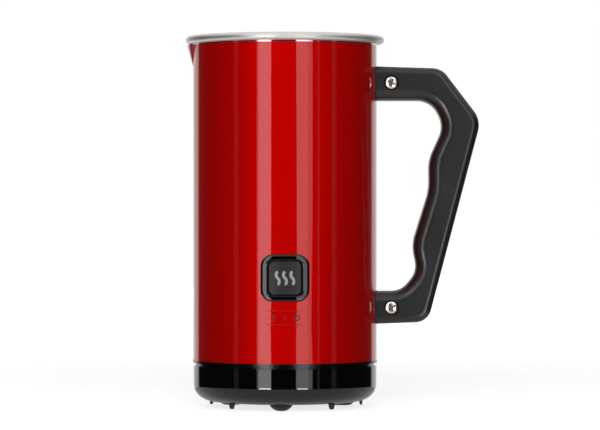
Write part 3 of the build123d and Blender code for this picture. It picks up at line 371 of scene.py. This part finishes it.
handle_nylon = grained_plastic("black_nylon_spark_grain", "#1f1f20", 0.30, 0.45 * mm, 0.004 * mm,
                               1.6)
button_nylon = grained_plastic("black_nylon_fine_grain", "#1c1c1e", 0.42, 0.3 * mm, 0.004 * mm)
inner_nylon = grained_plastic("grey_nylon_moulded", "#3a3a3c", 0.5, 0.5 * mm, 0.005 * mm)
satin_abs = grained_plastic("black_abs_satin_mould", "#040404", 0.2, 0.4 * mm, 0.002 * mm)
phenolic = grained_plastic("black_phenolic_moulded", "#1a1614", 0.35, 0.4 * mm, 0.003 * mm)

gloss_abs, tree, shader = surface_of("black_abs_polished_mould", Base_Color=linear("#040404"),
                                     IOR=1.62)
place = object_place(tree)
ripple = add_node(tree, "TexNoise", Vector=place, Scale=1 / (9 * mm), Detail=1.0)
haze = add_node(tree, "TexNoise", Vector=place, Scale=1 / (2.5 * mm), Detail=4.0)
sheen = add_node(tree, "MapRange", Value=haze.outputs[0], From_Min=0.35, From_Max=0.75,
                 To_Min=0.03, To_Max=0.06)
tree.links.new(sheen.outputs[0], shader.inputs["Roughness"])
bump_from(tree, shader, ripple.outputs[0], 0.004 * mm)
print("plastics:", handle_nylon.name, button_nylon.name, gloss_abs.name)

# %% [markdown]
# ## Rubber, light guide and print
# The feet are nitrile rubber, a soft black with a broad, weak sheen. The steam symbol is the end
# of a frosted polycarbonate light guide, pale grey, with painted light that makes it a little
# lighter at its top. The marks are printed in a dark ink, which shows duller than the gloss round
# it.

# %% Rubber, light guide and print
rubber = grained_plastic("black_nitrile_rubber", "#161717", 0.36, 0.25 * mm, 0.006 * mm)
light_guide, tree, shader = surface_of("frosted_polycarbonate", Roughness=0.38, IOR=1.58)
place = object_place(tree)
frost = add_node(tree, "TexNoise", Vector=place, Scale=1 / (0.25 * mm), Detail=2.0)
height = add_node(tree, "SeparateXYZ", Vector=place)
symbol_low, symbol_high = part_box("steam_symbol")
# Painted light: the symbol's colour grows a little lighter towards its top.
painted_lighter_top = add_node(tree, "MapRange", Value=height.outputs["Z"],
                From_Min=symbol_low.z, From_Max=symbol_high.z)
tone = add_node(tree, "Mix", {"data_type": "RGBA"}, _0=painted_lighter_top.outputs[0], _6=linear("#a9adb1"),
                _7=linear("#b9bbbb"))
tree.links.new(tone.outputs[2], shader.inputs["Base Color"])
bump_from(tree, shader, frost.outputs[0], 0.003 * mm)

print_ink, tree, shader = surface_of("dark_pad_printing_ink", Roughness=0.4,
                                     Base_Color=linear("#33120f"))
speck = add_node(tree, "TexNoise", Vector=object_place(tree), Scale=1 / (0.2 * mm), Detail=3.0)
bump_from(tree, shader, speck.outputs[0], 0.002 * mm)
print("made", rubber.name, light_guide.name, print_ink.name)

# %% [markdown]
# ## Other metals
# The visible screws are nickel plated: bright, warm white and slightly blurred. Inside, zinc
# plating is duller and yellows in patches, brass and enamelled copper bring in gold and orange,
# and cast aluminium is a rough, pale grey. The heating element's tube is tinted by its heat, and
# the motor's can and the pillars are plain bright steel.

# %% Metals
def worked_metal(name, light, dark, roughness, grain, depth):
    """Metal with patches between two colours, and a grain of a size and depth in metres."""
    made, tree, shader = surface_of(name, Metallic=1.0)
    place = object_place(tree)
    patch = add_node(tree, "TexNoise", Vector=place, Scale=1 / (6 * mm), Detail=4.0)
    fine = add_node(tree, "TexNoise", Vector=place, Scale=1 / grain, Detail=3.0)
    tone = add_node(tree, "Mix", {"data_type": "RGBA"}, _0=patch.outputs[0], _6=linear(light),
                    _7=linear(dark))
    tree.links.new(tone.outputs[2], shader.inputs["Base Color"])
    spread = add_node(tree, "MapRange", Value=fine.outputs[0], From_Min=0.3, From_Max=0.7,
                      To_Min=roughness * 0.7, To_Max=roughness * 1.3)
    tree.links.new(spread.outputs[0], shader.inputs["Roughness"])
    bump_from(tree, shader, fine.outputs[0], depth)
    return made


nickel = worked_metal("nickel_plated_steel", "#f4f1ec", "#e4e0d8", 0.22, 0.3 * mm, 0.002 * mm)
zinc = worked_metal("zinc_plated_steel", "#c9ccd2", "#a9a48f", 0.32, 0.4 * mm, 0.004 * mm)
brass = worked_metal("brass_contact", "#d8b05a", "#b98c3c", 0.25, 0.3 * mm, 0.002 * mm)
copper = worked_metal("enamelled_copper_wire", "#c2693a", "#9a4a26", 0.3, 0.5 * mm, 0.03 * mm)
aluminium = worked_metal("cast_aluminium", "#b9bbbd", "#9b9c9e", 0.5, 0.6 * mm, 0.02 * mm)
sheath = worked_metal("heat_tinted_steel_tube", "#8b7f78", "#5e5a66", 0.4, 0.5 * mm, 0.006 * mm)
bright_steel = worked_metal("bright_mild_steel", "#b4b3b1", "#9a9896", 0.34, 0.4 * mm, 0.004 * mm)
print("screws are", nickel.name, "and", zinc.name)

# %% [markdown]
# ## Magnets, brushes and electronics
# Sintered ferrite is a dull charcoal and pressed carbon a flat black. Component cases are
# blue-black epoxy and the wires have pale silicone insulation. The circuit board is green glass
# epoxy, where the copper under the lacquer shows as lighter, raised fields between dark lines.

# %% Ferrite, carbon and circuit board
ferrite = grained_plastic("sintered_ferrite", "#2b2c2f", 0.55, 0.35 * mm, 0.012 * mm)
carbon = grained_plastic("pressed_carbon", "#141414", 0.6, 0.2 * mm, 0.008 * mm)
epoxy = grained_plastic("moulded_epoxy_case", "#1d2733", 0.4, 0.4 * mm, 0.005 * mm)
wire_skin = grained_plastic("silicone_wire_insulation", "#c9c4ba", 0.5, 0.4 * mm, 0.004 * mm)
circuit_board, tree, shader = surface_of("glass_epoxy_circuit_board", Roughness=0.3, IOR=1.5)
place = object_place(tree)
tracks = add_node(tree, "TexVoronoi", {"feature": "DISTANCE_TO_EDGE"}, Vector=place,
                  Scale=1 / (3.2 * mm))
edge = add_node(tree, "MapRange", Value=tracks.outputs["Distance"], From_Min=0.05, From_Max=0.09)
tone = add_node(tree, "Mix", {"data_type": "RGBA"}, _0=edge.outputs[0], _6=linear("#0d3b22"),
                _7=linear("#17603a"))
tree.links.new(tone.outputs[2], shader.inputs["Base Color"])
bump_from(tree, shader, edge.outputs[0], 0.03 * mm)
print("materials:", len(bpy.data.materials))

# %% [markdown]
# ## From a bmesh to a finished piece
# Every new piece goes through the same last steps: its faces are turned outwards, it is shaded
# smooth up to a sharp angle, gets its material and rides on its body of the model. A second
# function carves one bmesh out of another.

# %% Finishing a piece
def finished(name, bm, material, slot, body, *stands_for, sharp=40):
    """Makes a bmesh a piece that rides on a body and stands for some nodes of the model."""
    bmesh.ops.remove_doubles(bm, verts=bm.verts, dist=0.001 * mm)
    bmesh.ops.recalc_face_normals(bm, faces=bm.faces)
    mesh = bpy.data.meshes.new(name)
    bm.to_mesh(mesh)
    bm.free()
    mesh.shade_smooth()
    mesh.set_sharp_from_angle(angle=radians(sharp))
    mesh.materials.append(material)
    piece = bpy.data.objects.new(name, mesh)
    scene.collection.objects.link(piece)
    even = piece.modifiers.new("even_shading", "WEIGHTED_NORMAL")
    even.keep_sharp = True
    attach(piece, body)
    if stands_for:
        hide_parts(*stands_for)
    print(name, "faces:", len(mesh.polygons))


def carved(bm, tool):
    """Takes a tool's bmesh out of another with Blender's Boolean, and gives back the result."""
    solids = []
    for name, part in (("blank", bm), ("tool", tool)):
        bmesh.ops.recalc_face_normals(part, faces=part.faces)
        mesh = bpy.data.meshes.new(name)
        part.to_mesh(mesh)
        part.free()
        solids.append(bpy.data.objects.new(name, mesh))
        scene.collection.objects.link(solids[-1])
    blank, cutter = solids
    cut = blank.modifiers.new("carve", "BOOLEAN")
    cut.operation, cut.solver, cut.use_self, cut.object = "DIFFERENCE", "EXACT", True, cutter
    result = bmesh.new()
    result.from_object(blank, bpy.context.evaluated_depsgraph_get())
    for solid in solids:
        mesh = solid.data
        bpy.data.objects.remove(solid)
        bpy.data.meshes.remove(mesh)
    return result


# %% [markdown]
# ## Pieces that follow the sleeve
# The button's frame is a moulding that lies on the round sleeve. It is drawn flat as rounded
# rectangles, one inside the other, which are bridged into a skin. Then every point is laid on the
# cylinder: its height above the flat becomes its distance from the sleeve. Moulders draw such a
# frame the same way, and it keeps the lip equally wide all round. Two rectangles at one height get
# a hundredth of a millimetre between them, so that the bridge between them cannot twist.

# %% Rounded rectangles laid on the sleeve
sleeve_radius = 45 * mm              # outside of the sleeve


def laid_on_sleeve(bm, loops, closed, centre_x, centre_z):
    """Bridges rounded rectangles of (width, height, corner, lift) in mm, lays them on the sleeve
    and adds them to bm. Closed loops make a ring, others are capped at both ends."""
    patch = bmesh.new()
    rows = []
    for width, height, corner, lift in loops:
        before = set(patch.edges)
        grid = bmesh.ops.create_grid(patch, x_segments=1, y_segments=1, size=0.5)["verts"]
        for vert in grid:
            vert.co = (vert.co.x * width * mm, vert.co.y * height * mm, lift * mm)
        bmesh.ops.bevel(patch, geom=grid, offset=corner * mm, offset_type="OFFSET", segments=8,
                        profile=0.5, affect="VERTICES", material=-1)
        rows.append([edge for edge in patch.edges if edge not in before])
    bmesh.ops.delete(patch, geom=patch.faces[:], context="FACES_ONLY")
    for here, after in zip(rows, rows[1:] + rows[:1] * closed):
        bmesh.ops.bridge_loops(patch, edges=here + after)
    if not closed:
        for row in (rows[0], rows[-1]):
            bmesh.ops.edgeloop_fill(patch, edges=row)
    half = max(loop[0] for loop in loops) / 2
    for cut in range(-int(half), int(half) + 1):
        bmesh.ops.bisect_plane(patch, geom=patch.verts[:] + patch.edges[:] + patch.faces[:],
                               plane_co=(cut * mm, 0, 0), plane_no=(1, 0, 0), dist=0.001 * mm)
    for vert in patch.verts:
        across, radius = centre_x + vert.co.x, sleeve_radius + vert.co.z
        vert.co = (across, -sqrt(radius * radius - across * across), centre_z + vert.co.y)
    mesh = bpy.data.meshes.new("patch")
    patch.to_mesh(mesh)
    patch.free()
    bm.from_mesh(mesh)
    bpy.data.meshes.remove(mesh)


print("sleeve radius in mm:", round(sleeve_radius / mm, 1))

# %% [markdown]
# ### The button's frame
# Glossy ABS with a rounded lip, so that its outer edge is dark and its slope catches the lamps.
# Inside the lip it drops to the opening for the button.

# %% Button frame
frame_low, frame_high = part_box("button_bezel")
button_z = (frame_low.z + frame_high.z) / 2
outside_wall = [(20.9, 20.1, 4.4, -4.2), (20.9, 20.1, 4.4, 0.04)]
lip = [(23.3, 22.5, 5.6, 0.06), (23.3, 22.5, 5.6, 0.15), (22.9, 22.1, 5.4, 0.50),
       (22.3, 21.5, 5.1, 0.80), (21.8, 21.0, 4.9, 0.94), (21.2, 20.4, 4.6, 1.0),
       (17.9, 17.9, 3.6, 0.96), (17.45, 17.45, 3.4, 0.85)]
opening = [(17.2, 17.2, 3.25, 0.6), (17.2, 17.2, 3.25, -2.7)]
room_for_flange = [(19.0, 18.2, 2.6, -2.75), (19.0, 18.2, 2.6, -4.22)]
bm = bmesh.new()
laid_on_sleeve(bm, outside_wall + lip + opening + room_for_flange, True, 0, button_z)
finished("button_frame", bm, gloss_abs, "black_gloss_plastic", "jug", "button_bezel")

# %% [markdown]
# ### The button
# A nylon key with a softly rounded edge, a flange behind that keeps it in the frame, and a stem
# that works the switch.

# %% Button
flange = [(18.3, 17.5, 2.2, -3.6), (18.3, 17.5, 2.2, -2.86)]
key = [(15.9, 15.9, 2.6, -2.84), (15.9, 15.9, 2.6, 0.35), (15.7, 15.7, 2.5, 0.62),
       (15.2, 15.2, 2.25, 0.75), (14.6, 14.6, 1.95, 0.78)]
stem_radius, stem_length, stem_middle = 2 * mm, 2.3 * mm, -40.35 * mm
bm = bmesh.new()
laid_on_sleeve(bm, flange + key, False, 0, button_z)
stem = Matrix.Translation((0, stem_middle, button_z)) @ Matrix.Rotation(radians(90), 4, "X")
bmesh.ops.create_cone(bm, cap_ends=True, segments=32, radius1=stem_radius, radius2=stem_radius,
                      depth=stem_length, matrix=stem)
finished("button_key", bm, button_nylon, "black_satin_plastic", "button", "button_cap")

# %% [markdown]
# ### Print under the button
# A plain bar and ring for on and off, with a fine divider between them and a hairline above and
# below, pad printed in dark ink. Ink lies on the lacquer a few hundredths of a millimetre thick,
# so each mark is a very thin solid.

# %% Print
marks_z = 45.3
strokes = ((18.4, 0.2, 0.08, 0, 48.7), (18.4, 0.2, 0.08, 0, 42.1),      # hairlines
           (0.7, 3.2, 0.1, -5.5, marks_z), (0.35, 2.4, 0.08, 0, marks_z))      # bar and divider
bm = bmesh.new()
for width, height, corner, x, z in strokes:
    laid_on_sleeve(bm, [(width, height, corner, -0.05), (width, height, corner, 0.03)], False,
                   x * mm, z * mm)
ring_mark = [(3.2, 3.2, 1.59, -0.05), (3.2, 3.2, 1.59, 0.02), (2.0, 2.0, 0.99, 0.03),
             (2.0, 2.0, 0.99, -0.06)]
laid_on_sleeve(bm, ring_mark, True, 5.5 * mm, marks_z * mm)
finished("printed_marks", bm, print_ink, "black_gloss_plastic", "jug")

# %% [markdown]
# ### Handle screws
# Two nickel-plated cross-head screws hold the handle, one in each arm. The head is turned, so its
# half outline is spun about the screw's axis, and the cross is pressed in as two crossed slots.

# %% Handle screws
screw_low, screw_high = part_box("handle_screws")
screw_x = (screw_low.x + screw_high.x) / 2
screw_reach = 3 * mm                 # from a screw's axis to the end of both screws' box
cross = (4.0 * mm, 4.4 * mm, 0.9 * mm, 1)
head = [(0, 6.9), (1.6, 6.9), (1.6, -7.0), (3.35, -7.0), (3.35, -7.9), (3.2, -8.2), (2.75, -8.48),
        (1.9, -8.72), (1.0, -8.85), (0, -8.9)]
bm, tool = bmesh.new(), bmesh.new()
for lift, turn in ((screw_low.z + screw_reach, 60), (screw_high.z - screw_reach, 28)):
    points = [bm.verts.new((screw_x + radius * mm, along * mm, lift)) for radius, along in head]
    lines = [bm.edges.new(pair) for pair in zip(points, points[1:])]
    bmesh.ops.spin(bm, geom=points + lines, cent=(screw_x, 0, lift), axis=(0, 1, 0), angle=2 * pi,
                   steps=48, use_merge=True)
    for extra in (0, 90):
        turned = Matrix.Rotation(radians(turn + extra), 4, "Y")
        groove = Matrix.Translation((screw_x, -8.8 * mm, lift)) @ turned @ Matrix.Diagonal(cross)
        bmesh.ops.create_cube(tool, size=1, matrix=groove)
bmesh.ops.remove_doubles(bm, verts=bm.verts, dist=0.001 * mm)
finished("screws", carved(bm, tool), nickel, "nickel_steel", "jug", "handle_screws", sharp=35)

# %% [markdown]
# ### Front foot
# A pressed rubber foot with a rounded sole. Rubber feet are moulded round, so its half outline is
# spun about an upright axis.

# %% Front foot
foot_low, foot_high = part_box("foot_front")
middle = (foot_low + foot_high) / 2
sole = [(0, 0), (1.0, 0.02), (1.7, 0.1), (2.3, 0.25), (3.1, 0.55), (3.9, 1.05), (4.65, 1.65),
        (5.2, 2.25), (5.55, 2.85), (5.7, 3.4), (5.7, 5.7), (0, 5.7)]
bm = bmesh.new()
points = [bm.verts.new((middle.x + radius * mm, middle.y, lift * mm)) for radius, lift in sole]
lines = [bm.edges.new(pair) for pair in zip(points, points[1:])]
bmesh.ops.spin(bm, geom=points + lines, cent=(middle.x, middle.y, 0), axis=(0, 0, 1), angle=2 * pi,
               steps=64, use_merge=True)
finished("rounded_foot", bm, rubber, "black_rubber", "jug", "foot_front")

# %% [markdown]
# ### Whisk spring
# The whisk is a coil of spring wire bent into a ring and joined end to end. Its wire follows a
# curve that turns round the ring while it goes round the axis, and a round bevel gives the wire
# its thickness.

# %% Whisk spring
spring_low, spring_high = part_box("whisk_spring")
wire, turns, points_per_turn = 0.4 * mm, 36, 14
coil = (spring_high.z - spring_low.z) / 2 - wire
ring = spring_high.x - wire - coil
curve = bpy.data.curves.new("spring", "CURVE")
curve.dimensions, curve.bevel_depth, curve.bevel_resolution = "3D", wire, 2
steps = turns * points_per_turn
path = curve.splines.new("POLY")
path.points.add(steps - 1)
path.use_cyclic_u = True
for step, point in enumerate(path.points):
    around = 2 * pi * step / steps
    radius = ring + coil * cos(turns * around)
    point.co = (radius * cos(around), radius * sin(around),
                (spring_low.z + spring_high.z) / 2 + coil * sin(turns * around), 1)
coiled = bpy.data.objects.new("spring", curve)
scene.collection.objects.link(coiled)
bm = bmesh.new()
bm.from_mesh(coiled.to_mesh())
coiled.to_mesh_clear()
bpy.data.objects.remove(coiled)
bpy.data.curves.remove(curve)
finished("whisk_coil", bm, pot_steel, "stainless_steel", "whisk", "whisk_spring", sharp=80)

# %% [markdown]
# ## Materials for the pieces of the model
# Every piece that keeps its modelled shape gets the material of its slot in the record. A few are
# made of something else than the rest of their slot, and those are named one by one.

# %% Slots of the record
by_slot = {
    "red_lacquer": red_lacquer, "stainless_steel": pot_steel, "black_satin_plastic": inner_nylon,
    "black_gloss_plastic": gloss_abs, "symbol_light_guide": light_guide, "black_rubber": rubber,
    "nickel_steel": nickel, "zinc_steel": zinc, "brass": brass, "circuit_board": circuit_board,
    "component_plastic": epoxy, "magnet_ferrite": ferrite, "cast_aluminium": aluminium,
    "element_sheath": sheath,
}
by_node = {
    "handle": handle_nylon, "chassis": satin_abs, "connector_body": phenolic,
    "board_terminals": inner_nylon, "wiring_harness": wire_skin, "heater_plate": aluminium,
    "motor_windings": copper, "commutator": copper, "motor_brushes": carbon,
    "motor_can": bright_steel, "motor_plate": bright_steel, "lower_standoffs": bright_steel,
    "upper_standoffs": bright_steel,
}
for part in frame["record"]["subparts"]:
    node = nodes[part["node"]]
    node.data.materials.clear()
    node.data.materials.append(by_node.get(part["node"], by_slot[part["material_slot"]]))
